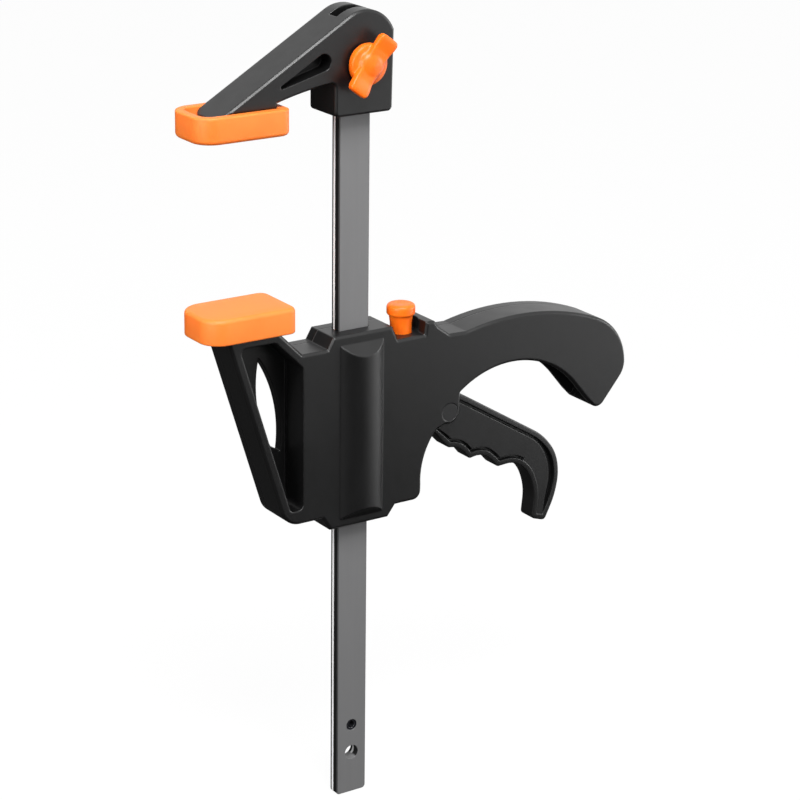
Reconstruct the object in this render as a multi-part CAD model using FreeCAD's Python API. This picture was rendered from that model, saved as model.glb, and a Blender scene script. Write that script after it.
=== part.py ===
"""Quick release bar clamp: a flat bar with a fixed jaw, and a trigger-driven sliding jaw.

Millimetres, +Z up the bar, origin at the centre of the bar's lower end face.
The jaws point to -X, the handle to +X, and the wing knob faces -Y.
"""
import FreeCAD, Part
import math
import os

# The bar
bar_width = 14.0
bar_thickness = 5.5
bar_length = 325.4
bar_corner_r = 1.5
bar_edge = 0.4
spreader_hole_z = 18.4
jaw_hole_from_top = 14.2
stop_pin_z = 31.0
stop_pin_r = 2.5
stop_pin_bore_r = 1.5
stop_pin_slit = 0.8
stop_pin_recess = 0.3
stop_pin_stand_out = 3.0

# The jaw screw, its washer and its nut
screw_r = 3.0
screw_hole_gap = 0.15
thread_gap = 0.05
screw_head_across = 9.0
screw_head_height = 3.0
screw_end_past_nut = 0.6
nut_across = 10.0
nut_height = 5.0
nut_pocket_gap = 0.1
washer_r = 6.0
washer_thickness = 1.6
washer_recess_depth = 0.8
washer_recess_gap = 0.2

# The wing knob
knob_disc_r = 8.1
knob_disc_height = 2.9
knob_face_gap = 0.15
knob_hub_r = 5.5
knob_hub_height = 5.4
wing_span = 24.6
wing_root_width = 6.0
wing_tip_width = 7.4
wing_corner = 1.5
wing_low = 3.0
wing_foot_height = 4.7
wing_tip_height = 6.3
wing_slope_run = 3.2
wing_angle = 53.0
knob_edge = 0.7

# The fixed jaw: its heights are from the centre of the jaw screw
jaw_thickness = 19.0
stem_left_x = -13.0
stem_right_x = 12.8
stem_bottom_z = -19.8
stem_corner_r = 1.8
crest = (0.3, 6.1)
crest_r = 14.2
crest_right_angle = 22.8
arm_slope = 30.4
arm_foot = (-25.0, -8.1)
arm_root_z = -6.4
arm_under_z = -11.3
jaw_edge = 0.8
bar_slot_gap = 0.15
crest_window_left = -8.5
crest_window_right = 4.0
teardrop_big = (-18.3, 2.0)
teardrop_big_r = 3.3
teardrop_small = (-36.4, -5.5)
teardrop_small_r = 0.7
teardrop_depth = 7.0
fixed_shoe_outer_x = -64.0

# The two soft pads
pad_length = 39.0
pad_width = 26.0
pad_height = 10.4
pad_outer_r = 8.5
pad_inner_r = 3.5
pad_edge = 1.2
pad_floor = 3.6
pad_fit = 0.15
fixed_pad_outer_x = -73.1
fixed_pocket_outer_x = -69.2
fixed_pad_face_z = -23.4
moving_pad_outer_x = -70.6
moving_shoe_outer_x = -66.3
moving_pad_face_z = 220.6
shoe_inner_x = -38.3
shoe_corner_r = 4.0
shoe_inner_r = 0.4

# The housing of the sliding jaw
housing_thickness = 18.0
seam_y = 3.6
housing_edge = 0.9
arm_outer_top = (-60.4, 210.2)
arm_lean = 17.43
flange = 3.7
arm_knee_z = 129.0
arm_knee_r = 9.0
slab_left_x = -27.1
slab_top_z = 199.4
collar_left_x = -12.9
collar_right_x = 14.5
collar_flare = 2.7
collar_top_z = 204.0
foot_left_x = -14.3
foot_right_x = 13.2
foot_flare = 3.6
foot_bottom_z = 123.4
block_right_x = 29.0
block_bottom_z = 128.1
block_corner_r = 3.5
shelf_z = 198.1
horn_left_x = 29.9
horn_recess_r = 7.3
horn_top = (34.6, 203.2)
horn_foot = (36.6, 200.4)
valley = (42.2, 196.3)
pocket_top_z = 206.4
pocket_bottom_z = 134.9
pocket_corner_r = 2.2
web_front_y = 5.0
lens_top = (-39.0, 196.2)
lens_left_via = (-39.6, 176.0)
lens_corner = (-33.6, 158.4)
lens_bottom = (-29.4, 155.9)
lens_right_via = (-30.2, 176.0)
lens_corner_r = 1.5

# The bulge that covers the spring round the bar
bulge_r = 13.5
bulge_top_z = 200.0
bulge_bottom_z = 127.0
spring_bore_r = 10.7
spring_floor_z = 131.4

# The handle: its top is two arcs that run into each other
handle_end = (107.9, 168.0)
handle_end_r = 24.8
handle_back_r = 110.5
handle_meet_angle = 68.1
handle_tip_angle = -6.0
handle_tip_blend_r = 10.0
handle_back_start_x = 50.5
handle_roof = 2.8
tip_point = (119.1, 149.2)
tip_inner = (112.2, 156.3)
tip_rise = (105.0, 164.9)
palm_top = (76.0, 178.9)
palm_root = (47.9, 170.4)
tip_r = 4.2
channel_left_x = 33.4
channel_gap = 0.4

# The trigger and its pivot
pivot = (42.6, 162.9)
pivot_pin_r = 2.5
pivot_bore_gap = 0.05
pivot_head_r = 3.7
pivot_head_height = 1.2
pivot_lug_r = 5.2
trigger_thickness = 12.6
trigger_squeeze = 26.0
nose_reach = 27.0
nose_r = 3.0
rim = 2.1
panel_recess = 1.7
tail_recess = 3.3
trigger_edge = 0.5
trigger_tip_r = 1.2
tail_inner_corner = (84.0, 110.6)
tail_outer_corner = (92.4, 104.9)

# The drive plates and their spring
plate_thickness = 2.8
plate_half_width = 5.9
plate_left_x = -8.4
plate_right_x = 20.4
plate_corner_r = 1.6
plate_bar_gap = 0.2
plate_stack_gap = 0.1
nose_gap = 0.12
drive_space_floor_z = 143.6
drive_space_top_z = 173.4
drive_wire_r = 0.75
drive_coil_r = 8.95
drive_turns = 6
coil_steps = 10
spring_end_gap = 0.12

# The brake plate, its spring and the release button
brake_thickness = 3.0
brake_half_width = 6.0
brake_left_x = -11.8
brake_right_x = 29.8
brake_tilt = 6.5
brake_hinge = (-10.5, 186.5)
brake_notch_gap = 0.35
brake_space_floor_z = 176.4
brake_space_top_z = 195.0
brake_space_right_x = 31.2
brake_wire_r = 0.45
brake_coil_r = 3.2
brake_turns = 5
brake_spring_x = 15.5
button_x = 24.0
button_cap_r = 5.8
button_cap_top_z = 210.0
button_cap_height = 4.6
button_cap_edge = 0.9
button_neck_r = 4.4
button_neck_straight = 4.0
button_neck_top_r = 4.9
button_neck_gap = 0.1
button_flange_r = 5.6
button_flange_height = 1.9
button_nub_r = 3.0
button_plate_gap = 0.12

# The screws that close the housing
shell_screw_places = ((-19.6, 188.0), (-19.6, 140.0), (64.0, 191.6), (117.0, 178.0))
shell_screw_r = 1.4
shell_screw_head_r = 2.7
shell_screw_head_height = 1.9
shell_screw_reach = 9.5
shell_screw_hole_gap = 0.3
shell_boss_r = 3.4

# Worked out from the sizes above
half_bar = bar_width / 2
half_bar_thickness = bar_thickness / 2
jaw_hole_z = bar_length - jaw_hole_from_top
half_jaw = jaw_thickness / 2
half_housing = housing_thickness / 2
screw_hole_r = screw_r + screw_hole_gap
nut_floor_y = half_jaw - nut_height - 0.6
pad_top_z = fixed_pad_face_z + pad_height
fixed_shoe_z = fixed_pad_face_z + pad_floor
moving_shoe_z = moving_pad_face_z - pad_floor
screw_line = (0, 0)
cavity_y = trigger_thickness / 2 + channel_gap
washer_low_y = washer_recess_depth - half_jaw - washer_thickness
knob_face_y = washer_low_y - knob_face_gap
nose_angle = math.radians(trigger_squeeze / 2)
nose_x = pivot[0] - nose_reach * math.cos(nose_angle)
nose_z = pivot[1] + nose_reach * math.sin(nose_angle)
plate_top_z = nose_z - nose_r - nose_gap


def along(angle):
    """Unit direction in the XZ plane, as degrees up from +X."""
    return math.cos(math.radians(angle)), math.sin(math.radians(angle))


def on_circle(centre, radius, angle):
    """Point of a circle in the XZ plane."""
    across, up = along(angle)
    return centre[0] + radius * across, centre[1] + radius * up


def at_xz(point, y=0.0):
    return FreeCAD.Vector(point[0], y, point[1])


def outline_xz(start, *steps):
    """Closed face in the XZ plane; a step is an end point, or a pair of via and end for an arc."""
    here = start
    edges = []
    ends_at_start = isinstance(steps[-1][0], tuple) and steps[-1][1] == start
    for step in steps if ends_at_start else steps + (start,):
        if isinstance(step[0], tuple):
            via, end = step
            edges.append(Part.Arc(at_xz(here), at_xz(via), at_xz(end)).toShape())
        else:
            end = step
            edges.append(Part.LineSegment(at_xz(here), at_xz(end)).toShape())
        here = end
    return Part.Face(Part.Wire(edges))


def through_y(face, low, high):
    """Solid from a face in the XZ plane, from y = low to y = high."""
    solid = face.extrude(FreeCAD.Vector(0, high - low, 0))
    solid.translate(FreeCAD.Vector(0, low, 0))
    return solid


def block(x_low, x_high, y_low, y_high, z_low, z_high):
    corner = FreeCAD.Vector(x_low, y_low, z_low)
    return Part.makeBox(x_high - x_low, y_high - y_low, z_high - z_low, corner)


def rod_y(point, radius, low, high):
    """Cylinder along Y at a point of the XZ plane."""
    return Part.makeCylinder(radius, high - low, at_xz(point, low), FreeCAD.Vector(0, 1, 0))


def rod_z(x, radius, low, high):
    return Part.makeCylinder(radius, high - low, FreeCAD.Vector(x, 0, low))


def hexagon_y(point, across, low, high):
    """Hexagonal prism along Y."""
    corner_r = across / math.sqrt(3)
    corners = [on_circle(point, corner_r, 60 * step + 30) for step in range(6)]
    return through_y(outline_xz(*corners), low, high)


def runs_along(edge, axis):
    """True for a straight edge that lies along the axis."""
    if not isinstance(edge.Curve, Part.Line):
        return False
    span = edge.Vertexes[1].Point - edge.Vertexes[0].Point
    return abs(abs(span.dot(axis)) - span.Length) < 1e-6


def round_corners(solid, radius, *points):
    """Fillets the edges along Y that stand at the given points of the XZ plane."""
    chosen = []
    for edge in solid.Edges:
        if not runs_along(edge, FreeCAD.Vector(0, 1, 0)):
            continue
        start = edge.Vertexes[0].Point
        if any(math.hypot(start.x - x, start.z - z) < 0.01 for x, z in points):
            chosen.append(edge)
    return solid.makeFillet(radius, chosen)


def soften_faces(solid, size, *y_planes):
    """Chamfers the outline of the flat faces that lie in the given planes square to Y."""
    chosen = []
    for edge in solid.Edges:
        heights = [vertex.Point.y for vertex in edge.Vertexes]
        if any(all(abs(y - plane) < 1e-6 for y in heights) for plane in y_planes):
            chosen.append(edge)
    return solid.makeChamfer(size, chosen)


def coil_z(x, radius, half_wire, low, high, turns):
    """Spring along Z: one square wire, wound in straight lengths round the coil."""
    pitch = (high - low - 2 * half_wire) / turns
    points = []
    for step in range(turns * coil_steps + 1):
        across, depth = along(360 * step / coil_steps)
        height = low + half_wire + step * pitch / coil_steps
        points.append(FreeCAD.Vector(x + radius * across, radius * depth, height))
    out, up = FreeCAD.Vector(half_wire, 0, 0), FreeCAD.Vector(0, 0, half_wire)
    section = [points[0] + out, points[0] + up, points[0] - out, points[0] - up]
    section = Part.makePolygon(section + section[:1])
    return Part.makePolygon(points).makePipeShell([section], True, True, 1)


def make_bar():
    """Flat steel bar with the two jaw screw holes and the stop pin's hole."""
    bar = block(-half_bar, half_bar, -half_bar_thickness, half_bar_thickness, 0, bar_length)
    ends = [(x, z) for x in (-half_bar, half_bar) for z in (0, bar_length)]
    bar = round_corners(bar, bar_corner_r, *ends)
    bar = soften_faces(bar, bar_edge, -half_bar_thickness, half_bar_thickness)
    for z in (spreader_hole_z, jaw_hole_z):
        bar = bar.cut(rod_y((0, z), screw_hole_r, -bar_thickness, bar_thickness))
    return bar.cut(rod_y((0, stop_pin_z), stop_pin_r, -bar_thickness, bar_thickness))


def make_bar_stop_pin():
    """Slotted spring pin that stops the sliding jaw; it stands out at the back of the bar."""
    low = -half_bar_thickness + stop_pin_recess
    high = half_bar_thickness + stop_pin_stand_out
    place = (0, stop_pin_z)
    pin = rod_y(place, stop_pin_r, low, high).cut(rod_y(place, stop_pin_bore_r, low, high))
    slit = block(-stop_pin_slit / 2, stop_pin_slit / 2, low, high, stop_pin_z, stop_pin_z + 2 * stop_pin_r)
    return pin.cut(slit)


def teardrop_face():
    """Two circles and the two lines that touch both."""
    across = teardrop_small[0] - teardrop_big[0]
    up = teardrop_small[1] - teardrop_big[1]
    heading = math.degrees(math.atan2(up, across))
    spread = math.degrees(math.acos((teardrop_big_r - teardrop_small_r) / math.hypot(across, up)))
    return outline_xz(
        on_circle(teardrop_big, teardrop_big_r, heading + spread),
        (
            on_circle(teardrop_big, teardrop_big_r, heading + 180),
            on_circle(teardrop_big, teardrop_big_r, heading - spread),
        ),
        on_circle(teardrop_small, teardrop_small_r, heading - spread),
        (
            on_circle(teardrop_small, teardrop_small_r, heading),
            on_circle(teardrop_small, teardrop_small_r, heading + spread),
        ),
    )


def fixed_jaw_outline():
    """Round crest over the stem, and an arm that slopes down to the shoe."""
    crest_left = on_circle(crest, crest_r, 90 + arm_slope)
    tip_fall = (crest_left[0] - fixed_shoe_outer_x) * math.tan(math.radians(arm_slope))
    return outline_xz(
        (stem_left_x, stem_bottom_z),
        (stem_right_x, stem_bottom_z),
        on_circle(crest, crest_r, crest_right_angle),
        (on_circle(crest, crest_r, 70), crest_left),
        (fixed_shoe_outer_x, crest_left[1] - tip_fall),
        (fixed_shoe_outer_x, fixed_shoe_z),
        (shoe_inner_x, fixed_shoe_z),
        (shoe_inner_x, arm_under_z),
        (arm_foot, (stem_left_x, arm_root_z)),
    )


def make_fixed_jaw():
    """Moulded jaw that slips over the top of the bar and is held by the wing screw."""
    jaw = through_y(fixed_jaw_outline(), -half_jaw, half_jaw)
    jaw = round_corners(
        jaw, stem_corner_r, (stem_left_x, stem_bottom_z), (stem_right_x, stem_bottom_z),
        (stem_left_x, arm_root_z),
    )
    jaw = soften_faces(jaw, jaw_edge, -half_jaw, half_jaw)
    shoe_top = pad_top_z + 0.2
    shoe_end = block(fixed_shoe_outer_x - 1, shoe_inner_x, -half_jaw, half_jaw, fixed_shoe_z - 1, shoe_top)
    shoe = jaw.common(shoe_end).common(shoe_prism(fixed_shoe_outer_x, 0, fixed_shoe_z, shoe_top))
    jaw = jaw.cut(shoe_end).fuse(shoe)
    slot_y = half_bar_thickness + bar_slot_gap
    slot_x = half_bar + bar_slot_gap
    slot_top = jaw_hole_from_top + bar_slot_gap
    jaw = jaw.cut(block(-slot_x, slot_x, -slot_y, slot_y, stem_bottom_z - 1, slot_top))
    window_floor = jaw_hole_from_top - bar_corner_r
    window_top = crest[1] + crest_r + 1
    jaw = jaw.cut(block(crest_window_left, crest_window_right, -slot_y, slot_y, window_floor, window_top))
    teardrop = teardrop_face()
    jaw = jaw.cut(through_y(teardrop, -half_jaw, teardrop_depth - half_jaw))
    jaw = jaw.cut(through_y(teardrop, half_jaw - teardrop_depth, half_jaw))
    jaw = jaw.cut(rod_y(screw_line, screw_hole_r, -half_jaw, half_jaw))
    recess_r = washer_r + washer_recess_gap
    jaw = jaw.cut(rod_y(screw_line, recess_r, -half_jaw, washer_recess_depth - half_jaw))
    return jaw.cut(hexagon_y(screw_line, nut_across + 2 * nut_pocket_gap, nut_floor_y, half_jaw))


def make_jaw_lock_nut():
    """Hexagon nut held in the pocket at the back of the jaw."""
    nut = hexagon_y(screw_line, nut_across, nut_floor_y, nut_floor_y + nut_height)
    return nut.cut(rod_y(screw_line, screw_r + thread_gap, nut_floor_y, nut_floor_y + nut_height))


def make_screw_washer():
    """Washer that sits in a shallow recess and keeps the knob off the jaw."""
    high = washer_low_y + washer_thickness
    washer = rod_y(screw_line, washer_r, washer_low_y, high)
    return washer.cut(rod_y(screw_line, screw_hole_r, washer_low_y, high))


def make_clamp_screw():
    """Screw whose head is moulded into the wing knob."""
    head_low = knob_face_y - screw_head_height
    head = hexagon_y(screw_line, screw_head_across, head_low, head_low + screw_head_height)
    return head.fuse(rod_y(screw_line, screw_r, head_low, nut_floor_y + nut_height + screw_end_past_nut))


def wing_blank():
    """Both wings: their outline seen from the front, cut to the profile seen along the knob's face."""
    tip = wing_span / 2
    half_tip = wing_tip_width / 2
    half_root = wing_root_width / 2
    corner = tip - wing_corner
    step = tip - wing_slope_run
    plan = [
        (tip, wing_corner - half_tip), (tip, half_tip - wing_corner), (corner, half_tip),
        (step, half_tip), (0, half_root), (-step, half_tip), (-corner, half_tip),
        (-tip, half_tip - wing_corner), (-tip, wing_corner - half_tip), (-corner, -half_tip),
        (-step, -half_tip), (0, -half_root), (step, -half_tip), (corner, -half_tip),
    ]
    foot = knob_hub_r - 1
    profile = [
        (-tip, wing_low), (tip, wing_low), (tip, wing_tip_height), (step, wing_tip_height),
        (foot, wing_foot_height), (-foot, wing_foot_height), (-step, wing_tip_height),
        (-tip, wing_tip_height),
    ]
    side = [FreeCAD.Vector(x, -height, -tip) for x, height in profile]
    side = Part.Face(Part.makePolygon(side + side[:1])).extrude(FreeCAD.Vector(0, 0, 2 * tip))
    front = through_y(outline_xz(*plan), -wing_tip_height, 0)
    wings = front.common(side).removeSplitter()
    outer = []
    for edge in wings.Edges:
        ends = [vertex.Point for vertex in edge.Vertexes]
        if all(end.y < -wing_foot_height - 0.1 for end in ends) and any(abs(end.x) > step + 0.1 for end in ends):
            outer.append(edge)
    return wings.makeChamfer(knob_edge, outer)


def make_wing_knob():
    """Round base with two raised wings and a hub between them."""
    disc = rod_y(screw_line, knob_disc_r, knob_face_y - knob_disc_height, knob_face_y)
    disc = disc.makeChamfer(knob_edge, [edge for edge in disc.Edges if edge.BoundBox.YMax < knob_face_y - 1])
    hub = rod_y(screw_line, knob_hub_r, knob_face_y - knob_hub_height, knob_face_y - 1)
    hub = hub.makeChamfer(knob_edge, [edge for edge in hub.Edges if edge.BoundBox.YMax < knob_face_y - 2])
    wings = wing_blank()
    wings.rotate(FreeCAD.Vector(0, 0, 0), FreeCAD.Vector(0, 1, 0), -wing_angle)
    wings.translate(FreeCAD.Vector(0, knob_face_y, 0))
    knob = disc.fuse([hub, wings])
    return knob.cut(make_clamp_screw()).removeSplitter()


def plate_outline_z(x_low, x_high, half_width, low_r, high_r, z):
    """Face square to Z: a rectangle whose two ends have their own corner radii."""
    corners = (
        (x_high - high_r, half_width - high_r, high_r),
        (x_low + low_r, half_width - low_r, low_r),
        (x_low + low_r, low_r - half_width, low_r),
        (x_high - high_r, high_r - half_width, high_r),
    )
    arcs = []
    for quarter, (centre_x, centre_y, radius) in enumerate(corners):
        points = []
        for half_step in range(3):
            across, up = along(90 * quarter + 45 * half_step)
            points.append(FreeCAD.Vector(centre_x + radius * across, centre_y + radius * up, z))
        arcs.append(points)
    edges = []
    for index, points in enumerate(arcs):
        edges.append(Part.Arc(*points).toShape())
        edges.append(Part.LineSegment(points[-1], arcs[(index + 1) % 4][0]).toShape())
    return Part.Face(Part.Wire(edges))


def make_pad(outer_x, pocket_outer_x, face_z, up):
    """Soft cap with a pocket for the jaw's shoe; up is the way its clamping face looks."""
    low = min(face_z, face_z - up * pad_height)
    inner_x = outer_x + pad_length
    pad = plate_outline_z(outer_x, inner_x, pad_width / 2, pad_outer_r, pad_inner_r, low)
    pad = pad.extrude(FreeCAD.Vector(0, 0, pad_height))
    rims = [edge for edge in pad.Edges if edge.BoundBox.ZLength < 1e-6]
    pad = pad.makeChamfer(pad_edge, rims)
    pocket_low, pocket_high = sorted((face_z - up * pad_floor, face_z - up * (pad_height + 1)))
    return pad.cut(shoe_prism(pocket_outer_x, pad_fit, pocket_low, pocket_high))


def shoe_prism(outer_x, gap, low, high):
    """The shoe that a pad sits on, grown by a gap on three sides."""
    face = plate_outline_z(
        outer_x, shoe_inner_x + gap, half_housing + gap, shoe_corner_r + gap, shoe_inner_r + gap, low,
    )
    return face.extrude(FreeCAD.Vector(0, 0, high - low))


def arm_point(z):
    """Point of the sliding jaw's sloping outer face."""
    top_x, top_z = arm_outer_top
    return top_x + (top_z - z) * math.tan(math.radians(arm_lean)), z


def brace_point(z, offset=0.0):
    """Point of the brace that runs down from the pad to the slab, or of its lower face."""
    return slab_left_x - (z - slab_top_z) - offset * math.sqrt(2), z


def handle_back_centre():
    """Centre of the long arc of the handle, which touches the arc of its end."""
    reach = handle_back_r - handle_end_r
    return on_circle(handle_end, -reach, handle_meet_angle)


def height_on_back(x, inset):
    """Height of the handle's long arc above a given x."""
    centre_x, centre_z = handle_back_centre()
    return centre_z + math.sqrt((handle_back_r - inset) ** 2 - (x - centre_x) ** 2)


def handle_arcs(start_x, inset):
    """Points from the handle's tip over its end and its back, as outline steps."""
    end_r = handle_end_r - inset
    back = handle_back_centre()
    middle_x = (start_x + handle_end[0]) / 2
    meet = on_circle(handle_end, end_r, handle_meet_angle)
    return (
        on_circle(handle_end, end_r, handle_tip_angle),
        (on_circle(handle_end, end_r, (handle_tip_angle + handle_meet_angle) / 2), meet),
        ((middle_x, height_on_back(middle_x, inset)), (start_x, height_on_back(start_x, inset))),
    )


def housing_outline():
    """Jaw arm, slab, collar, shelf, horn, handle, pivot lugs, block and foot in one outline."""
    return outline_xz(
        arm_outer_top,
        arm_point(arm_knee_z),
        (foot_left_x - foot_flare, arm_knee_z),
        (foot_left_x, foot_bottom_z),
        (foot_right_x, foot_bottom_z),
        (foot_right_x + foot_flare, block_bottom_z),
        (block_right_x, block_bottom_z),
        (block_right_x + 0.2, 134.0),
        ((30.7, 146.0), (36.4, 156.4)),
        on_circle(pivot, pivot_lug_r, -110),
        (on_circle(pivot, pivot_lug_r, -50), on_circle(pivot, pivot_lug_r, 10)),
        palm_root,
        (palm_top, tip_rise),
        tip_inner,
        tip_point,
        *handle_arcs(handle_back_start_x, 0.0),
        valley,
        horn_foot,
        horn_top,
        (horn_left_x + 0.7, horn_top[1]),
        (horn_left_x, shelf_z),
        (collar_right_x + collar_flare, shelf_z),
        (collar_right_x, collar_top_z),
        (collar_left_x, collar_top_z),
        (collar_left_x - collar_flare, slab_top_z),
        (slab_left_x, slab_top_z),
        brace_point(arm_outer_top[1]),
    )


def bulge():
    """Round cover of the spring, cut off on a slope at both ends."""
    cylinder = rod_z(0, bulge_r, bulge_bottom_z - 2, bulge_top_z + 2)
    slope = bulge_r - half_housing
    side = [
        (half_housing, bulge_top_z), (bulge_r, bulge_top_z - slope),
        (bulge_r, bulge_bottom_z + slope), (half_housing, bulge_bottom_z),
    ]
    ring = side + [(-y, z) for y, z in reversed(side)]
    corners = [FreeCAD.Vector(-bulge_r, y, z) for y, z in ring]
    prism = Part.Face(Part.makePolygon(corners + corners[:1])).extrude(FreeCAD.Vector(2 * bulge_r, 0, 0))
    return cylinder.common(prism)


def arm_pocket():
    """Recess of the jaw arm, open at the front and closed by a web at the back."""
    lean = math.radians(arm_lean)
    inset = flange / math.cos(lean)
    top_left = (arm_point(pocket_top_z)[0] + inset, pocket_top_z)
    bottom_left = (arm_point(pocket_bottom_z)[0] + inset, pocket_bottom_z)
    brace_foot_z = slab_top_z - flange * math.sqrt(2)
    corners = [
        top_left, bottom_left, (slab_left_x, pocket_bottom_z), (slab_left_x, brace_foot_z),
        brace_point(pocket_top_z, flange),
    ]
    pocket = through_y(outline_xz(*corners), -half_housing - 1, web_front_y)
    return round_corners(pocket, pocket_corner_r, *corners)


def lens_hole():
    """See-through opening in the web of the jaw arm."""
    face = outline_xz(lens_top, (lens_left_via, lens_corner), lens_bottom, (lens_right_via, lens_top))
    return round_corners(through_y(face, 0, half_housing + 1), lens_corner_r, lens_corner)


def hand_channel():
    """Hollow under the handle's roof, open below for the trigger."""
    below = 140.0
    start_x = channel_left_x + 6
    tip, end_arc, back_arc = handle_arcs(start_x, handle_roof)
    face = outline_xz(
        (channel_left_x, below + 16),
        (tip_point[0] - 6, below),
        (tip_point[0] - 3.9, tip_point[1] + 3.8),
        (tip_point[0] - 1.7, tip_point[1] + 6.0),
        tip,
        end_arc,
        back_arc,
        (channel_left_x, height_on_back(start_x, handle_roof) - 3),
    )
    return through_y(face, -cavity_y, cavity_y)


def housing_cavities():
    """Everything that is hollow inside the closed housing."""
    slot_x = half_bar + bar_slot_gap
    slot_y = half_bar_thickness + bar_slot_gap
    notch_left = brake_left_x - 0.7
    notch_half = brake_thickness / 2 + brake_notch_gap
    hinge_x, hinge_z = brake_hinge
    notch_right = hinge_x + 1.7
    space_left = plate_left_x - 0.6
    space_right = channel_left_x + 8
    return [
        block(-slot_x, slot_x, -slot_y, slot_y, foot_bottom_z - 1, collar_top_z + 1),
        rod_z(0, spring_bore_r, spring_floor_z, drive_space_top_z),
        block(space_left, space_right, -cavity_y, cavity_y, drive_space_floor_z, drive_space_top_z),
        block(notch_right, brake_space_right_x, -cavity_y, cavity_y, brake_space_floor_z, brake_space_top_z),
        block(notch_left, notch_right, -cavity_y, cavity_y, hinge_z - notch_half, hinge_z + notch_half),
        rod_z(button_x, button_neck_r + button_neck_gap, brake_space_top_z - 1, shelf_z + 1),
        rod_z(button_x, horn_recess_r, shelf_z, shelf_z + button_cap_r),
        hand_channel(),
    ]


def housing_whole():
    """Both shells as one solid, hollowed out, with the bosses of the shell screws left standing."""
    outer = through_y(housing_outline(), -half_housing, half_housing)
    outer = round_corners(outer, arm_knee_r, arm_point(arm_knee_z))
    outer = round_corners(outer, block_corner_r, (block_right_x, block_bottom_z))
    outer = round_corners(outer, tip_r, tip_point)
    outer = round_corners(outer, handle_tip_blend_r, on_circle(handle_end, handle_end_r, handle_tip_angle))
    outer = round_corners(outer, 1.5, palm_root, valley, horn_foot, horn_top)
    outer = soften_faces(outer, housing_edge, -half_housing, half_housing)
    moving_shoe = shoe_prism(moving_shoe_outer_x, 0, arm_outer_top[1] - 0.5, moving_shoe_z)
    outer = outer.fuse([bulge(), moving_shoe])
    hollow = housing_cavities()
    hollow = hollow[0].fuse(hollow[1:])
    bosses = [rod_y(place, shell_boss_r, -half_housing, half_housing) for place in shell_screw_places]
    hollow = hollow.cut(bosses)
    body = outer.cut([hollow, arm_pocket(), lens_hole()])
    pin_line = [
        rod_y(pivot, pivot_pin_r, -half_housing - 1, half_housing + 1),
        rod_y(pivot, pivot_head_r, -half_housing - 1, pivot_head_height - half_housing),
    ]
    return body.cut(pin_line).removeSplitter()


def slice_y(solid, low, high):
    """The part of a solid that lies between two planes square to Y."""
    box = solid.BoundBox
    return solid.common(block(box.XMin - 1, box.XMax + 1, low, high, box.ZMin - 1, box.ZMax + 1))


def make_housing_front(whole):
    """Front shell: it carries the button hole, the collar and most of the handle."""
    tip_y = shell_screw_tip_y()
    holes = [rod_y(place, shell_screw_r, tip_y, seam_y + 1) for place in shell_screw_places]
    return slice_y(whole, -bulge_r - 1, seam_y).cut(holes)


def make_housing_rear(whole):
    """Rear shell with the screws' counterbores."""
    cuts = []
    for place in shell_screw_places:
        cuts.append(rod_y(place, shell_screw_r + shell_screw_hole_gap, seam_y - 1, half_housing))
        head_low = half_housing - shell_screw_head_height - 0.3
        cuts.append(rod_y(place, shell_screw_head_r + shell_screw_hole_gap, head_low, half_housing + 1))
    return slice_y(whole, seam_y, bulge_r + 1).cut(cuts)


def shell_screw_tip_y():
    return half_housing - shell_screw_head_height - 0.3 - shell_screw_reach


def make_housing_screws():
    """Pan head screws that pull the rear shell onto the front shell."""
    screws = []
    for place in shell_screw_places:
        head_low = half_housing - shell_screw_head_height - 0.3
        head = rod_y(place, shell_screw_head_r, head_low, head_low + shell_screw_head_height)
        screws.append(head.fuse(rod_y(place, shell_screw_r, shell_screw_tip_y(), head_low)))
    return Part.makeCompound(screws)


def make_trigger_pivot_pin():
    """Headed pin, flush with both walls."""
    head = rod_y(pivot, pivot_head_r, -half_housing, pivot_head_height - half_housing)
    return head.fuse(rod_y(pivot, pivot_pin_r, -half_housing, half_housing))


def trigger_outline():
    """Lever from the nose over the pivot to the hooked tail, with three finger scallops."""
    nose = (nose_x, nose_z)
    return outline_xz(
        on_circle(nose, nose_r, -50),
        (nose_x + 6.2, nose_z - 3.4),
        (33.4, 155.0),
        (37.6, 150.6),
        (44.2, 146.7),
        ((50.7, 145.0), (55.8, 139.4)),
        ((62.9, 138.2), (69.4, 133.2)),
        ((80.4, 128.6), (84.3, 117.0)),
        tail_inner_corner,
        tail_outer_corner,
        ((97.9, 110.9), (101.2, 122.5)),
        ((99.0, 132.8), (91.1, 141.8)),
        (50.0, 168.2),
        on_circle(nose, nose_r, 84),
        (on_circle(nose, nose_r, 180), on_circle(nose, nose_r, -50)),
    )


def trigger_panel():
    """Region whose lower right boundary is the raised panel's rounded end."""
    left_x = nose_x - nose_reach
    return outline_xz(
        (left_x, 100.0),
        (78.0, 128.0),
        (86.5, 130.4),
        ((91.6, 131.2), (91.0, 136.0)),
        (86.0, 144.0),
        (86.0, 190.0),
        (left_x, 190.0),
    )


def make_trigger():
    """Lever with an I-shaped section: a rim all round, a raised panel and a deeper tail."""
    half = trigger_thickness / 2
    lever = through_y(trigger_outline(), -half, half)
    lever = round_corners(lever, trigger_tip_r, tail_inner_corner, tail_outer_corner)
    lever = soften_faces(lever, trigger_edge, -half, half)
    inner = trigger_outline().makeOffset2D(-rim)
    panel = trigger_panel()
    for side in (-1, 1):
        for depth in (panel_recess, tail_recess):
            low, high = sorted((side * (half - depth), side * (half + 1)))
            region = through_y(panel, low, high)
            recess = through_y(inner, low, high).cut(rod_y(pivot, pivot_lug_r, low, high))
            recess = recess.common(region) if depth == panel_recess else recess.cut(region)
            lever = lever.cut(recess)
    return lever.cut(rod_y(pivot, pivot_pin_r + pivot_bore_gap, -half, half))


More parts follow.
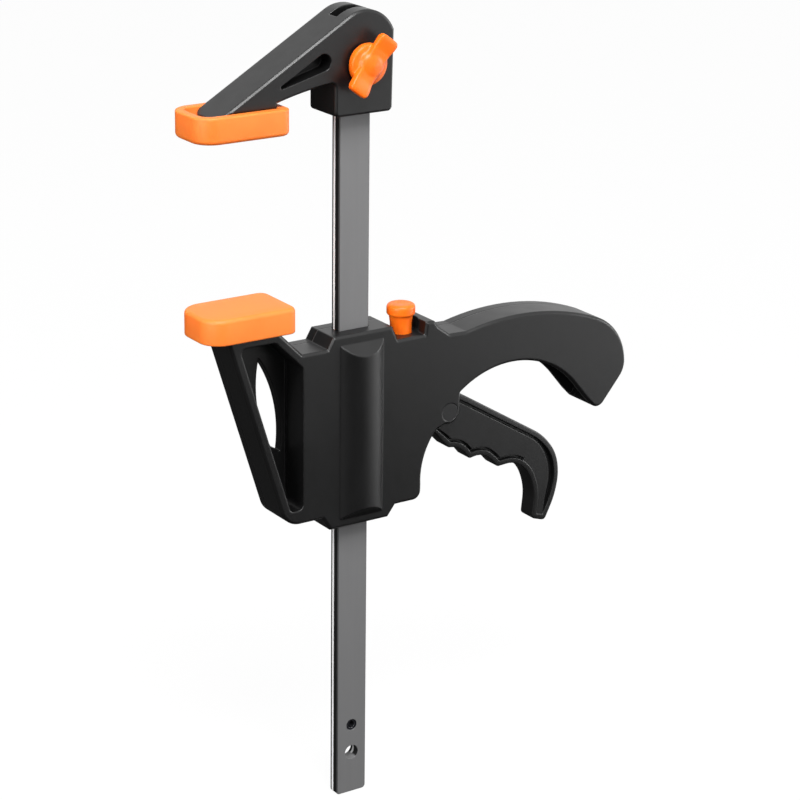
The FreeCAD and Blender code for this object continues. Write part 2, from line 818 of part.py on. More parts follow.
def drive_plate(index):
    """Hardened plate round the bar; the trigger's nose pushes its stack down."""
    top = plate_top_z - index * (plate_thickness + plate_stack_gap)
    low = top - plate_thickness
    face = plate_outline_z(
        plate_left_x, plate_right_x, plate_half_width, plate_corner_r, plate_corner_r, low,
    )
    plate = face.extrude(FreeCAD.Vector(0, 0, plate_thickness))
    hole_x = half_bar + plate_bar_gap
    hole_y = half_bar_thickness + plate_bar_gap
    return plate.cut(block(-hole_x, hole_x, -hole_y, hole_y, low, top))


def make_drive_spring():
    """Spring round the bar, between the foot of the housing and the drive plates."""
    bottom_plate = plate_top_z - 2 * plate_thickness - plate_stack_gap
    high = bottom_plate - spring_end_gap
    return coil_z(0, drive_coil_r, drive_wire_r, spring_floor_z + spring_end_gap, high, drive_turns)


def brake_plate_level():
    """Brake plate lying flat at the height of its hinge."""
    hinge_x, hinge_z = brake_hinge
    low = hinge_z - brake_thickness / 2
    face = plate_outline_z(
        brake_left_x, brake_right_x, brake_half_width, plate_corner_r, plate_corner_r, low,
    )
    plate = face.extrude(FreeCAD.Vector(0, 0, brake_thickness))
    hole_x = half_bar + 0.3
    hole_y = half_bar_thickness + plate_bar_gap
    return plate.cut(block(-hole_x, hole_x, -hole_y, hole_y, low, low + brake_thickness))


def make_brake_plate():
    """Hardened plate that leans on the bar until the button straightens it."""
    plate = brake_plate_level()
    plate.rotate(at_xz(brake_hinge), FreeCAD.Vector(0, -1, 0), brake_tilt)
    return plate


def on_brake_plate(x, face):
    """Height of the leaning brake plate's upper (+1) or lower (-1) face at a given x."""
    hinge_x, hinge_z = brake_hinge
    lean = math.radians(brake_tilt)
    return hinge_z + (x - hinge_x) * math.tan(lean) + face * brake_thickness / 2 / math.cos(lean)


def make_brake_spring():
    """Small spring that holds the brake plate up."""
    high = on_brake_plate(brake_spring_x - brake_coil_r, -1) - spring_end_gap
    low = brake_space_floor_z + spring_end_gap
    return coil_z(brake_spring_x, brake_coil_r, brake_wire_r, low, high, brake_turns)


def make_release_button():
    """Soft cap, neck, retaining flange and the nub that bears on the brake plate."""
    cap_low = button_cap_top_z - button_cap_height
    cap = rod_z(button_x, button_cap_r, cap_low, button_cap_top_z)
    cap = cap.makeChamfer(button_cap_edge, [edge for edge in cap.Edges if edge.BoundBox.ZMin > cap_low + 1])
    straight_top = shelf_z + button_neck_straight
    flange_top = brake_space_top_z - 0.2
    neck = rod_z(button_x, button_neck_r, flange_top - 0.5, straight_top)
    taper = Part.makeCone(
        button_neck_r, button_neck_top_r, cap_low - straight_top, FreeCAD.Vector(button_x, 0, straight_top),
    )
    collar = rod_z(button_x, button_flange_r, flange_top - button_flange_height, flange_top)
    nub_low = on_brake_plate(button_x + button_nub_r, 1) + button_plate_gap
    nub = rod_z(button_x, button_nub_r, nub_low, flange_top)
    return cap.fuse([taper, neck, collar, nub]).removeSplitter()


def jaw_group():
    """The pieces at the top of the bar, drawn from the jaw screw's centre and lifted to its hole."""
    group = {
        "fixed_jaw": make_fixed_jaw(),
        "fixed_jaw_pad": make_pad(fixed_pad_outer_x, fixed_pocket_outer_x, fixed_pad_face_z, -1),
        "jaw_lock_nut": make_jaw_lock_nut(),
        "screw_washer": make_screw_washer(),
        "clamp_screw": make_clamp_screw(),
        "wing_knob": make_wing_knob(),
    }
    for shape in group.values():
        shape.translate(FreeCAD.Vector(0, 0, jaw_hole_z))
    return group


def build_parts():
    whole = housing_whole()
    moving_pocket_x = moving_shoe_outer_x - pad_fit
    return jaw_group() | {
        "bar": make_bar(),
        "bar_stop_pin": make_bar_stop_pin(),
        "housing_front": make_housing_front(whole),
        "housing_rear": make_housing_rear(whole),
        "housing_screws": make_housing_screws(),
        "moving_jaw_pad": make_pad(moving_pad_outer_x, moving_pocket_x, moving_pad_face_z, 1),
        "trigger_pivot_pin": make_trigger_pivot_pin(),
        "trigger": make_trigger(),
        "drive_plate_upper": drive_plate(0),
        "drive_plate_lower": drive_plate(1),
        "drive_spring": make_drive_spring(),
        "brake_plate": make_brake_plate(),
        "brake_spring": make_brake_spring(),
        "release_button": make_release_button(),
    }


os.makedirs("parts", exist_ok=True)
for name, shape in build_parts().items():
    shape.exportStep("parts/" + name + ".step")
    print(name, len(shape.Solids), round(shape.Volume), shape.isValid())
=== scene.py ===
import bmesh
import bpy
import math
from mathutils import Matrix, Vector


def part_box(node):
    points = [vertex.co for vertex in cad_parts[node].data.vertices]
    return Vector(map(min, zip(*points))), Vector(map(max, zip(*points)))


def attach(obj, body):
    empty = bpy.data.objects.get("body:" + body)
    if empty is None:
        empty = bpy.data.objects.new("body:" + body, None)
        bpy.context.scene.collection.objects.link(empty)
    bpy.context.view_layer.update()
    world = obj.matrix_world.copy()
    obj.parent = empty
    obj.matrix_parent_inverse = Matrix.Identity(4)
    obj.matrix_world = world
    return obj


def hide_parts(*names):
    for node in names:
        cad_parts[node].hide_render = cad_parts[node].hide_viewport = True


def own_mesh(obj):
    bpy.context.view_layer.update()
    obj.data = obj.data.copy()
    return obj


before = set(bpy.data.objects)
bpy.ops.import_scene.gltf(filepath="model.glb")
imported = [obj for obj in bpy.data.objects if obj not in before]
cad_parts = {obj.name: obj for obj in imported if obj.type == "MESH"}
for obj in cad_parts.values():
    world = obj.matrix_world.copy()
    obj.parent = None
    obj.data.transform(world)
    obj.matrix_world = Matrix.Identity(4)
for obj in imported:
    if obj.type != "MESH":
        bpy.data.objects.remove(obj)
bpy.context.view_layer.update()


# The bar is a flat length of rolled steel with its edges broken and its faces drawn smooth.
# It is bare but lightly oiled, with a fine lengthwise grain. Its narrow sides are painted dark
# with one bright line along them, a painted reflection, and its edges are painted lighter, a
# painted highlight.
class Socket:
    """A socket of a finish; a sum of sockets and numbers adds the Math nodes for it."""

    def __init__(self, tree, source=None):
        self.tree = tree
        self.source = source

    def node(self, kind, settings=(), sockets=(), out=0):
        """Adds any other node: settings first, then a value or a link for each socket."""
        made = self.tree.nodes.new(kind)
        for name, value in dict(settings).items():
            setattr(made, name, value)
        for name, value in dict(sockets).items():
            if isinstance(value, Socket):
                self.tree.links.new(value.source, made.inputs[name])
            else:
                made.inputs[name].default_value = value
        return Socket(self.tree, made.outputs[out] if made.outputs else None)

    def maths(self, operation, *values):
        return self.node("ShaderNodeMath", {"operation": operation}, enumerate(values))

    def __add__(self, other):
        return self.maths("ADD", self, other)

    def __radd__(self, other):
        return self.maths("ADD", other, self)

    def __sub__(self, other):
        return self.maths("SUBTRACT", self, other)

    def __rsub__(self, other):
        return self.maths("SUBTRACT", other, self)

    def __mul__(self, other):
        return self.maths("MULTIPLY", self, other)

    def __rmul__(self, other):
        return self.maths("MULTIPLY", other, self)

    def rise(self, low, high):
        """0 below low, 1 above high, and a smooth rise between them."""
        settings = {"interpolation_type": "SMOOTHSTEP"}
        sockets = {"Value": self, "From Min": low, "From Max": high}
        return self.node("ShaderNodeMapRange", settings, sockets)

    def mix(self, first, second):
        """Colour first where this socket is 0, and colour second where it is 1."""
        sockets = {0: self, 6: first, 7: second}
        return self.node("ShaderNodeMix", {"data_type": "RGBA"}, sockets, 2)

    def place(self, kind="Object"):
        return self.node("ShaderNodeTexCoord", out=kind)

    def part(self, axis):
        """One of a vector's three numbers, by its letter."""
        return self.node("ShaderNodeSeparateXYZ", {}, {"Vector": self}, axis)

    def noise(self, scale, detail=2.0, stretch=(1.0, 1.0, 1.0)):
        """Noise over this place with so many waves to a metre, drawn out by stretch."""
        spread = self.node("ShaderNodeMapping", {}, {"Vector": self, "Scale": stretch})
        sockets = {"Vector": spread, "Scale": scale, "Detail": detail}
        return self.node("ShaderNodeTexNoise", {}, sockets)

    def rounded(self, radius):
        """The normal with its sharp edges rounded, and a mask that is 1 on those edges."""
        soft = self.node("ShaderNodeBevel", {"samples": 8}, {"Radius": radius})
        flat = self.node("ShaderNodeNewGeometry", out="Normal")
        settings = {"operation": "DOT_PRODUCT"}
        turn = self.node("ShaderNodeVectorMath", settings, {0: soft, 1: flat}, "Value")
        return soft, (1.0 - turn).rise(0.01, 0.16)

    def bump(self, distance, normal):
        sockets = {"Height": self, "Distance": distance, "Normal": normal}
        return self.node("ShaderNodeBump", {}, sockets)

    def lay_on(self, sockets):
        """Ends a finish with one shader that has the given sockets."""
        shader = self.node("ShaderNodeBsdfPrincipled", {}, sockets)
        self.node("ShaderNodeOutputMaterial", {}, {"Surface": shader})


def new_finish(name):
    finish = bpy.data.materials.new(name)
    finish.use_nodes = True
    finish.node_tree.nodes.clear()
    return finish, Socket(finish.node_tree)


def dress(finish, *nodes):
    """Gives the finish to nodes of the clamp's CAD model."""
    for node in nodes:
        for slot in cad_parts[node].material_slots:
            slot.material = finish


bar_steel, at = new_finish("drawn_bar_steel")
place = at.place()
grain = place.noise(900.0, 3.0, (1.0, 1.0, 0.02))
smear = place.noise(18.0, 3.0, (1.0, 1.0, 0.35))
across = at.place("Normal").part("X")
side = (across * across).rise(0.3, 0.6)
depth = place.part("Y")
# Painted reflection: the narrow sides are dark, with one bright line along their middle.
painted_reflection_line = depth.rise(0.0001, 0.0004) * (1.0 - depth.rise(0.0013, 0.0016))
face_steel = (grain * 0.5 + smear * 0.5).mix((0.138, 0.138, 0.14, 1), (0.168, 0.168, 0.17, 1))
painted_reflection_sides = painted_reflection_line.mix((0.004, 0.004, 0.0042, 1), (0.9, 0.9, 0.9, 1))
# Painted highlight: the bar's rounded edges are coloured lighter than its faces.
painted_bar_edge_highlight = (0.24, 0.24, 0.243, 1)
round_normal, edge = at.rounded(0.00015)
at.lay_on({
    "Base Color": side.mix(edge.mix(face_steel, painted_bar_edge_highlight), painted_reflection_sides),
    "Metallic": 0.12 - 0.1 * side,
    "Roughness": 0.42 + 0.12 * smear + 0.06 * grain,
    "Normal": grain.bump(0.00001, round_normal),
})
dress(bar_steel, "bar")

# The stop pin is a rolled spring pin of blued steel, driven into the bar near its lower end.
# It stands out at the back, where the sliding jaw meets it.
spring_steel, at = new_finish("blued_spring_steel")
place = at.place()
bluing = place.noise(240.0, 2.0)
blued = bluing.mix((0.035, 0.038, 0.05, 1), (0.07, 0.07, 0.08, 1))
# The lighter colour on the edges of the pin and the springs is a painted highlight.
round_normal, edge = at.rounded(0.0002)
at.lay_on({
    "Base Color": edge.mix(blued, (0.22, 0.22, 0.23, 1)),
    "Metallic": 0.9,
    "Roughness": 0.28 + 0.2 * bluing,
    "Normal": place.noise(2600.0, 1.0).bump(0.000006, round_normal),
})
dress(spring_steel, "bar_stop_pin")

# The fixed jaw is one moulding of glass-filled black nylon that slips over the bar's top end.
# Its faces have the fine, dull grain of an etched mould, and its edges are painted lighter in
# patches, a painted highlight.
def nylon_finish(name, rounding, grain_depth, dullness):
    """Black glass-filled nylon; the mould's grain is deeper or its edges rounder by piece."""
    finish, at = new_finish(name)
    place = at.place()
    mottle = place.noise(45.0, 4.0)
    etch = place.noise(2400.0, 2.0)
    flow = place.noise(160.0, 3.0, (1.0, 1.0, 0.4))
    round_normal, edge = at.rounded(rounding)
    # Painted highlight: patches along the edges are coloured lighter than the nylon.
    painted_edge_highlight = edge * place.noise(330.0, 3.0).rise(0.4, 0.75)
    nylon = mottle.mix((0.0018, 0.0018, 0.0019, 1), (0.0045, 0.0045, 0.0047, 1))
    at.lay_on({
        "Base Color": (painted_edge_highlight * 0.35).mix(nylon, (0.03, 0.03, 0.031, 1)),
        "Roughness": dullness + 0.12 * flow - 0.06 * edge,
        "Normal": (etch + 0.6 * flow).bump(grain_depth, round_normal),
    })
    return finish


black_nylon = nylon_finish("black_glass_filled_nylon", 0.0007, 0.000012, 0.31)
dress(black_nylon, "fixed_jaw")


# Each pad is a cap of soft orange rubber, moulded with a pocket and pushed over a jaw's shoe.
# The two are alike, with well rounded outer corners, and the upper one lies face down.
def rounded_outline(x_low, x_high, half_width, low_r, high_r, z):
    """Points of a rectangle seen from above, each end with its own corner radius."""
    corners = (
        (x_high - high_r, half_width - high_r, high_r),
        (x_low + low_r, half_width - low_r, low_r),
        (x_low + low_r, low_r - half_width, low_r),
        (x_high - high_r, high_r - half_width, high_r),
    )
    steps = 10
    points = []
    for quarter, (x, y, radius) in enumerate(corners):
        for step in range(steps + 1):
            angle = math.radians(90 * quarter + 90 / steps * step)
            across, along = radius * math.cos(angle), radius * math.sin(angle)
            points.append(Vector((x + across, y + along, z)))
    return points


def skin(shape, loops, first_end=True, last_end=True):
    """Faces between closed loops with the same count of points, with flat ends if wanted."""
    rings = [[shape.verts.new(point) for point in loop] for loop in loops]
    for ring, following in zip(rings, rings[1:]):
        for index, corner in enumerate(ring):
            beside = (index + 1) % len(ring)
            shape.faces.new((corner, ring[beside], following[beside], following[index]))
    if first_end:
        shape.faces.new(rings[0])
    if last_end:
        shape.faces.new(rings[-1])
    return rings


def settle(name, shape, finish, body, slot, *nodes):
    """Makes a piece of the shape that rides on a body and stands for the given CAD nodes."""
    bmesh.ops.recalc_face_normals(shape, faces=shape.faces)
    mesh = bpy.data.meshes.new(name)
    shape.to_mesh(mesh)
    shape.free()
    mesh.materials.append(finish)
    mesh.shade_smooth()
    piece = bpy.data.objects.new(name, mesh)
    bpy.context.scene.collection.objects.link(piece)
    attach(piece, body)
    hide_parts(*nodes)
    return piece


pad_nose_r, pad_heel_r = 0.0085, 0.0035
pad_crown, pad_crown_inset = 0.00015, 0.006
pocket_half_width, pocket_nose_r, pocket_heel_r = 0.00915, 0.00415, 0.00055
pad_skin = 0.0036


def rubber_pad(node, body, up, pocket_x):
    """The cap of one jaw; up is the way its clamping face looks."""
    low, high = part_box(node)
    face_z, rim_z = (high.z, low.z) if up > 0 else (low.z, high.z)
    inset = pad_crown_inset
    crown = (low.x + inset, high.x - inset, high.y - inset, 0.004, 0.002)
    wall = (low.x, high.x, high.y, pad_nose_r, pad_heel_r)
    pocket = (*pocket_x, pocket_half_width, pocket_nose_r, pocket_heel_r)
    shape = bmesh.new()
    loops = [
        rounded_outline(*crown, face_z),
        rounded_outline(*wall, face_z - up * pad_crown),
        rounded_outline(*wall, rim_z),
        rounded_outline(*pocket, rim_z),
        rounded_outline(*pocket, face_z - up * pad_skin),
    ]
    rings = skin(shape, loops)
    weight = shape.edges.layers.float.new("bevel_weight_edge")
    for ring, softness in ((rings[1], 1.0), (rings[2], 0.35), (rings[3], 0.25)):
        for index, corner in enumerate(ring):
            shape.edges.get((corner, ring[(index + 1) % len(ring)]))[weight] = softness
    piece = settle(node + "_rubber", shape, soft_rubber, body, "soft_orange", node)
    rounding = piece.modifiers.new("moulded_edges", "BEVEL")
    rounding.limit_method = "WEIGHT"
    rounding.width = 0.0017
    rounding.segments = 5
    rounding.use_clamp_overlap = True


soft_rubber, at = new_finish("soft_orange_rubber")
place = at.place()
cloud = place.noise(70.0, 3.0)
pores = place.noise(3000.0, 2.0)
round_normal, edge = at.rounded(0.0008)
at.lay_on({
    "Base Color": cloud.mix((0.97, 0.185, 0.018, 1), (1.0, 0.235, 0.035, 1)),
    "Roughness": 0.42 + 0.16 * cloud,
    "Subsurface Weight": 0.25,
    "Subsurface Radius": (1.0, 0.35, 0.1),
    "Subsurface Scale": 0.004,
    "Normal": (pores + 0.5 * cloud).bump(0.00003, round_normal),
})
rubber_pad("fixed_jaw_pad", "bar_and_fixed_jaw", -1, (-0.06935, -0.03815))
rubber_pad("moving_jaw_pad", "carriage", 1, (-0.06645, -0.03815))

# The jaw screw goes through the jaw and the bar into a hexagon nut at the back, with a washer
# under the knob. All three are turned steel with bright zinc on them.
zinc_plate, at = new_finish("bright_zinc_plate")
place = at.place()
spangle = place.noise(420.0, 3.0)
round_normal, edge = at.rounded(0.0002)
at.lay_on({
    "Base Color": spangle.mix((0.52, 0.53, 0.55, 1), (0.68, 0.68, 0.66, 1)),
    "Metallic": 0.95,
    "Roughness": 0.24 + 0.2 * spangle - 0.08 * edge,
    "Normal": spangle.bump(0.00001, round_normal),
})
dress(zinc_plate, "jaw_lock_nut", "screw_washer", "clamp_screw", "housing_screws")


# The wing knob is moulded in hard orange nylon over the screw's head. Two short paddles stand
# up from a round base and run into a low hub, all with soft corners, for two fingers to turn.
bend_points = 6


def soft_path(*corners):
    """Points of a bent line whose corners are rounded; a corner is (out, up, radius)."""
    points = [Vector(corners[0][:2])]
    for before, corner, after in zip(corners, corners[1:], corners[2:]):
        bend = Vector(corner[:2])
        start = bend + (Vector(before[:2]) - bend).normalized() * corner[2]
        end = bend + (Vector(after[:2]) - bend).normalized() * corner[2]
        for step in range(bend_points if corner[2] else 1):
            along = step / (bend_points - 1)
            left = 1 - along
            points.append(start * left ** 2 + bend * 2 * along * left + end * along ** 2)
    return points + [Vector(corners[-1][:2])]


def turned(shape, path, stand, steps=72):
    """Turns a line of (out, up) in millimetres round the axis of the stand matrix."""
    loops = []
    for point in path:
        out, up = max(point.x, 0.002) / 1000, point.y / 1000
        angles = [math.tau * step / steps for step in range(steps)]
        loops.append([
            stand @ Vector((out * math.cos(angle), out * math.sin(angle), up)) for angle in angles
        ])
    skin(shape, loops)


hard_orange, at = new_finish("hard_orange_nylon")
place = at.place()
cloud = place.noise(120.0, 3.0)
etch = place.noise(2600.0, 2.0)
round_normal, edge = at.rounded(0.0005)
at.lay_on({
    "Base Color": cloud.mix((0.96, 0.125, 0.003, 1), (1.0, 0.185, 0.008, 1)),
    "Roughness": 0.3 + 0.14 * cloud,
    "Specular IOR Level": 0.35,
    "Subsurface Weight": 0.2,
    "Subsurface Radius": (1.0, 0.3, 0.08),
    "Subsurface Scale": 0.003,
    "Normal": (etch + cloud).bump(0.00002, round_normal),
})
knob_back_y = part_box("wing_knob")[1].y
screw_z = sum(corner.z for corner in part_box("screw_washer")) / 2
wing_angle = math.radians(53)
along_wing = Vector((math.cos(wing_angle), 0, math.sin(wing_angle)))
across_wing = Vector((-math.sin(wing_angle), 0, math.cos(wing_angle)))
knob_stand = Matrix((along_wing, across_wing, Vector((0, -1, 0)))).transposed().to_4x4()
knob_stand.translation = Vector((0, knob_back_y, screw_z))
shape = bmesh.new()
turned(shape, soft_path(
    (0, 0, 0), (8.1, 0, 0.3), (8.1, 2.9, 1.1), (5.8, 3.2, 0.8), (4.6, 5.4, 1.8), (0, 6.3, 0),
), knob_stand)
paddle_points, paddle_roundness = 24, 0.35
paddle = (
    (12.4, 2.4, 3.7, 5.8), (12.2, 3.8, 3.3, 6.3), (10.9, 4.5, 3.0, 6.5), (9.1, 4.5, 2.9, 6.2),
    (6.4, 4.2, 2.6, 5.5), (4.0, 4.2, 1.6, 5.3), (0.0, 4.2, 1.0, 5.3),
)
paddle += tuple((-reach, *rest) for reach, *rest in paddle[-2::-1])
loops = []
for reach, half_width, foot, top in paddle:
    loop = []
    for step in range(paddle_points):
        angle = math.tau * step / paddle_points
        side = math.copysign(abs(math.cos(angle)) ** paddle_roundness, math.cos(angle))
        rise = math.copysign(abs(math.sin(angle)) ** paddle_roundness, math.sin(angle))
        height = (foot + top) / 2 + rise * (top - foot) / 2
        loop.append(knob_stand @ (Vector((reach, half_width * side, height)) / 1000))
    loops.append(loop)
skin(shape, loops)
knob = settle("wing_knob_moulding", shape, hard_orange, "wing_screw", "hard_orange", "wing_knob")
blending = knob.modifiers.new("one_moulding", "REMESH")
blending.mode = "VOXEL"
blending.voxel_size = 0.0003
blending.use_smooth_shade = True
easing = knob.modifiers.new("eased_corners", "SMOOTH")
easing.factor = 0.5
easing.iterations = 12

# The sliding jaw's body is two shells of the same black nylon, a deep front one and a shallower
# rear one, closed with four pan head screws from the back. Its edges are a little rounder.
dress(nylon_finish("black_shell_nylon", 0.0009, 0.000012, 0.31), "housing_front", "housing_rear")

# The pivot pin is a headed steel pin through both walls and the trigger, blacked with oxide
# and flush with the shell, so that it shows only as a faint ring. Its edges are painted lighter, a
# painted highlight.
black_oxide, at = new_finish("black_oxide_steel")
place = at.place()
turning = place.noise(900.0, 2.0)
oxide = turning.mix((0.006, 0.006, 0.0062, 1), (0.012, 0.012, 0.0125, 1))
# Painted highlight: the pin's edges are coloured lighter than the oxide.
round_normal, edge = at.rounded(0.0002)
at.lay_on({
    "Base Color": edge.mix(oxide, (0.03, 0.03, 0.03, 1)),
    "Metallic": 0.1,
    "Roughness": 0.42 + 0.12 * turning,
    "Normal": turning.bump(0.000008, round_normal),
})
dress(black_oxide, "trigger_pivot_pin")

# The trigger is a moulded lever of the same nylon from a coarser mould, with a groove between
# its flat rim and its raised web. Scallops and a hooked tail hold the fingers. It turns on the
# pivot pin, and its nose is inside the shells.
pitted_nylon = nylon_finish("pitted_black_nylon", 0.0004, 0.00003, 0.34)
lever_half, rim_width, groove_depth, web_drop = 4.3, 2.2, 1.9, 0.3
edge_round, least_corner_r = 0.5, 0.1
panel_start_x, panel_run = 34, 8
tip_x, upper_z, tip_reach, upper_reach, lower_reach = 100, 113, 2.5, 1.0, 0.4
hook_top_z, tail_x, tail_top_z = 106, (75, 92), 128
lever_corners = (
    (13.6, 168.0, 0), (14.8, 172.3, 1.8), (50.4, 168.5, 5), (94.4, 141.6, 6), (101.2, 132.6, 5),
    (103.0, 122.6, 5), (100.8, 112.6, 4), (96.0, 102.8, 1.9), (89.2, 105.0, 1.6), (90.4, 116.5, 5),
    (86.6, 127.4, 5), (79.0, 132.8, 4), (70.6, 132.2, 0.9), (63.3, 140.2, 5.8), (56.2, 138.6, 0.9),
    (50.9, 145.0, 4.2), (45.5, 145.5, 0.9), (41.8, 149.4, 2), (38.0, 154.0, 3), (31.0, 159.5, 3),
    (22.0, 165.4, 2), (16.8, 165.2, 1.5), (13.8, 166.4, 0),
)


def lever_loop(side, inset, groove_reach, sunk, in_groove):
    """A loop of the lever: how far in from its edge it lies, and how deep in its face."""
    corners, depths = [], []
    for index, (x, z, radius) in enumerate(lever_corners):
        point = Vector((x, z))
        before = (point - Vector(lever_corners[index - 1][:2])).normalized()
        after = (Vector(lever_corners[(index + 1) % len(lever_corners)][:2]) - point).normalized()
        bend = before.dot(after)
        turning = (before.y * after.x - before.x * after.y) / (1 + bend)
        way = Vector((before.y + after.y, -before.x - after.x)) / (1 + bend)
        shown = max(0.0, min((x - panel_start_x) / panel_run, 1.0))
        wide = tip_reach if x > tip_x else upper_reach if z > upper_z else lower_reach
        reach = inset
        if inset > edge_round:
            reach = edge_round + shown * (inset - edge_round + groove_reach * wide)
        moved = point + way * reach
        kept_r = max(radius - reach * turning, least_corner_r) if radius else 0
        corners.append((moved.x, moved.y, kept_r))
        in_hook = z < hook_top_z or (tail_x[0] < x < tail_x[1] and z < tail_top_z)
        depth = sunk + (0.0 if in_hook else shown * in_groove * groove_depth)
        depths += [depth] * (bend_points if radius else 1)
    return [
        Vector((point.x, side * (lever_half - depth), point.y)) / 1000
        for point, depth in zip(soft_path(*corners), depths)
    ]


profile = (
    (0.00, 0, 0.50, 0), (0.07, 0, 0.25, 0), (0.25, 0, 0.07, 0), (edge_round, 0, 0, 0),
    (rim_width, 0, 0, 0), (rim_width + 0.1, 0, web_drop, 1), (rim_width + 0.1, 1, web_drop, 1),
    (rim_width + 0.3, 1, web_drop, 0),
)
shape = bmesh.new()
back = [lever_loop(-1, *row) for row in profile[::-1]]
front = [lever_loop(1, *row) for row in profile]
skin(shape, back + front)
lever = settle("trigger_moulding", shape, pitted_nylon, "trigger", "black_nylon", "trigger")
lever.data.set_sharp_from_angle(angle=math.radians(40))

# The drive plates and the brake plate are stamped from hardened spring steel and tumbled, with
# a ground edge round the bar hole. They sit inside the shells. All their edges are painted
# lighter, a painted highlight.
hardened_steel, at = new_finish("tumbled_hard_steel")
place = at.place()
tumble = place.noise(700.0, 4.0)
tumbled = tumble.mix((0.1, 0.1, 0.105, 1), (0.2, 0.2, 0.2, 1))
# Painted highlight: every edge of the plates is coloured lighter than the tumbled faces.
round_normal, edge = at.rounded(0.0003)
at.lay_on({
    "Base Color": edge.mix(tumbled, (0.4, 0.4, 0.4, 1)),
    "Metallic": 0.95,
    "Roughness": 0.34 + 0.2 * tumble,
    "Normal": tumble.bump(0.00002, round_normal),
})
dress(hardened_steel, "drive_plate_upper", "drive_plate_lower", "brake_plate")

# Two springs of the same blued wire stand on the shells' floors with closed ends: a large one
# round the bar lifts the drive plates, and a small one lifts the brake plate.
closed_turn, steps_a_turn, wire_sides = 0.8, 36, 8


def wound_spring(node, wire, turns):
    """A coil in its CAD node's box, of wire with the given radius."""
    low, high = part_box(node)
    middle = (low + high) / 2
    radius = (high.x - low.x) / 2 - wire
    sides = [math.tau * side / wire_sides for side in range(wire_sides)]
    loops = []
    for step in range(turns * steps_a_turn + 1):
        turn = step / steps_a_turn
        angle = math.tau * turn
        rise = max(0.0, min((turn - closed_turn) / (turns - 2 * closed_turn), 1.0))
        z = low.z + wire + (high.z - low.z - 2 * wire) * rise
        out = Vector((math.cos(angle), math.sin(angle), 0))
        centre = Vector((middle.x, middle.y, z)) + out * radius
        loops.append([
            centre + wire * (out * math.cos(side) + Vector((0, 0, math.sin(side))))
            for side in sides
        ])
    shape = bmesh.new()
    skin(shape, loops)
    coil = settle(node + "_coil", shape, spring_steel, "carriage", "spring_steel", node)
    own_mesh(coil)


wound_spring("drive_spring", 0.00075, 7)
wound_spring("brake_spring", 0.00045, 6)

# The release button is one orange moulding: a round cap on a neck that narrows into the shell,
# with a flange and a nub out of sight that bear on the brake plate.
button_x = 0.024
foot_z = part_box("release_button")[0].z * 1000
button_stand = Matrix.Translation(Vector((button_x, 0, 0)))
shape = bmesh.new()
turned(shape, soft_path(
    (0, foot_z, 0), (3.0, foot_z, 0.3), (3.0, 192.9, 0.2), (5.6, 192.9, 0.2), (5.6, 194.8, 0.2),
    (4.4, 194.8, 0.2), (4.4, 202.1, 0.8), (4.9, 205.4, 0.5), (5.8, 205.7, 0.7), (5.8, 210.0, 1.8),
    (2.4, 210.0, 1.0), (0, 209.8, 0),
), button_stand)
settle(
    "release_button_moulding", shape, hard_orange, "release_button", "hard_orange",
    "release_button",
)

# The clamp stands on its bar on a plain pale floor. The camera sees the floor as white; to the
# clamp it is a card that runs from dark on the left to pale on the right.
white_floor, at = new_finish("pale_floor")
seen = at.node("ShaderNodeLightPath", out="Is Camera Ray")
card = at.place().part("X").rise(0.2, 0.55).mix((0.01, 0.01, 0.01, 1), (0.95, 0.95, 0.95, 1))
shade = seen.mix(card, at.place().noise(9.0).mix((0.86, 0.86, 0.86, 1), (0.9, 0.9, 0.9, 1)))
matt = at.node("ShaderNodeBsdfPrincipled", {}, {"Base Color": shade, "Roughness": 0.9})
glow = at.node("ShaderNodeEmission", {}, {"Color": (1, 1, 1, 1), "Strength": 1.0})
blend = at.node("ShaderNodeMixShader", {}, {0: seen * 0.94, 1: matt, 2: glow})
at.node("ShaderNodeOutputMaterial", {}, {"Surface": blend})
floor_reach, floor_drop = 8.0, 0.0002
shape = bmesh.new()
bmesh.ops.create_grid(shape, x_segments=8, y_segments=8, size=floor_reach)
floor_mesh = bpy.data.meshes.new("floor")
shape.to_mesh(floor_mesh)
shape.free()
floor_mesh.materials.append(white_floor)
floor = bpy.data.objects.new("floor", floor_mesh)
floor.location.z = -floor_drop
bpy.context.scene.collection.objects.link(floor)

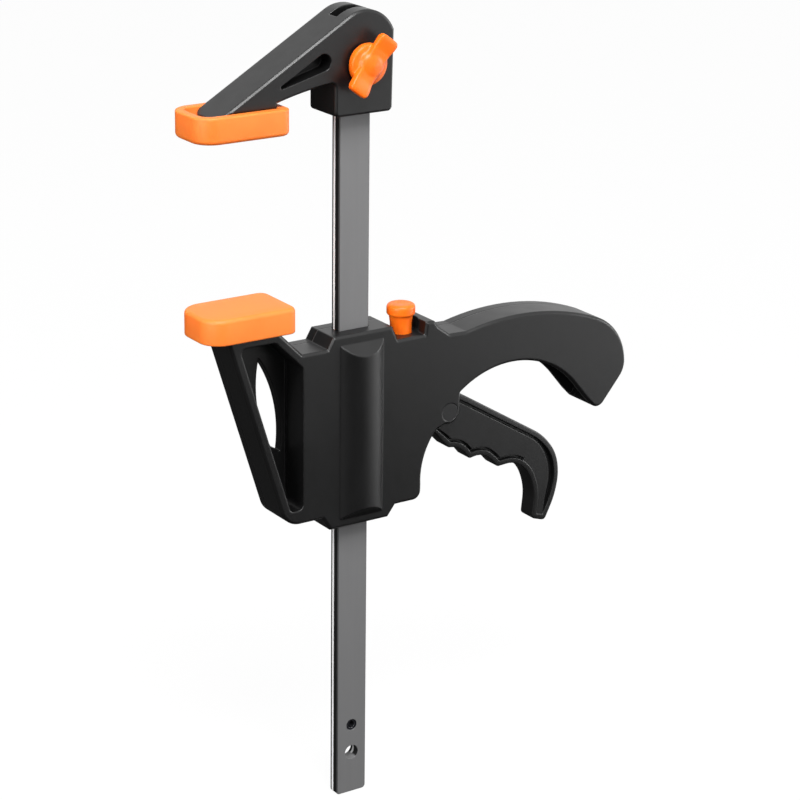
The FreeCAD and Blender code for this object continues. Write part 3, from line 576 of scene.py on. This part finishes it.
# The studio is white to the camera and evenly lit. What the clamp reflects is dark on the left
# and bright on the right, so that the black nylon shows its form.
world = bpy.data.worlds.new("studio")
world.use_nodes = True
world.node_tree.nodes.clear()
bpy.context.scene.world = world
at = Socket(world.node_tree)
camera_ray = at.node("ShaderNodeLightPath", out="Is Camera Ray")
glossy_ray = at.node("ShaderNodeLightPath", out="Is Glossy Ray")
through_ray = at.node("ShaderNodeLightPath", out="Is Transmission Ray")
from_right = at.place("Generated").part("X").rise(-0.55, 0.05)
studio = 0.55 + glossy_ray * (from_right * 0.95 - 0.5)
shown = camera_ray.maths("MAXIMUM", camera_ray, through_ray)
level = shown + (1.0 - shown) * studio
backdrop = at.node("ShaderNodeBackground", {}, {"Color": (1, 1, 1, 1), "Strength": level})
at.node("ShaderNodeOutputWorld", {}, {"Surface": backdrop})


# Three soft boxes light the clamp: one above and in front, and a weaker one on each side. All
# of them face the clamp's middle.
middle = Vector((0.02, 0, 0.2))


def soft_light(name, towards, away, size, power):
    """A square soft box that looks at the middle of the clamp from the given direction."""
    lamp = bpy.data.lights.new(name, "AREA")
    lamp.size = size
    lamp.energy = power
    holder = bpy.data.objects.new(name, lamp)
    direction = Vector(towards).normalized()
    holder.location = middle + direction * away
    holder.rotation_euler = direction.to_track_quat("Z", "Y").to_euler()
    bpy.context.scene.collection.objects.link(holder)


soft_light("key_box", (-0.16, -0.55, 0.82), 1.5, 0.6, 26.0)
soft_light("left_box", (-0.9, -0.38, 0.3), 1.8, 0.9, 21.0)
soft_light("right_box", (0.9, -0.42, 0.1), 1.6, 0.5, 8.5)

# The camera stands about a metre away with a long lens, to the left of the clamp and a little
# above it, and looks at a point just beside the bar, at about half its height.
azimuth, elevation, roll = (math.radians(angle) for angle in (-33.656, 19.326, 0.701))
aim, camera_distance = Vector((0.024115, 0.0, 0.168948)), 1.03809
ahead = Vector((
    -math.sin(azimuth) * math.cos(elevation),
    math.cos(azimuth) * math.cos(elevation),
    -math.sin(elevation),
))
level_right = Vector((math.cos(azimuth), math.sin(azimuth), 0))
level_up = level_right.cross(ahead)
right = math.cos(roll) * level_right + math.sin(roll) * level_up
up = math.cos(roll) * level_up - math.sin(roll) * level_right
lens = bpy.data.cameras.new("camera")
lens.sensor_width = 36.0
lens.lens = 115.577
lens.clip_end = 50.0
camera = bpy.data.objects.new("camera", lens)
pose = Matrix((right, up, -ahead)).transposed().to_4x4()
pose.translation = aim - ahead * camera_distance
camera.matrix_world = pose
bpy.context.scene.collection.objects.link(camera)
bpy.context.scene.camera = camera
bpy.context.scene.view_settings.view_transform = "Standard"
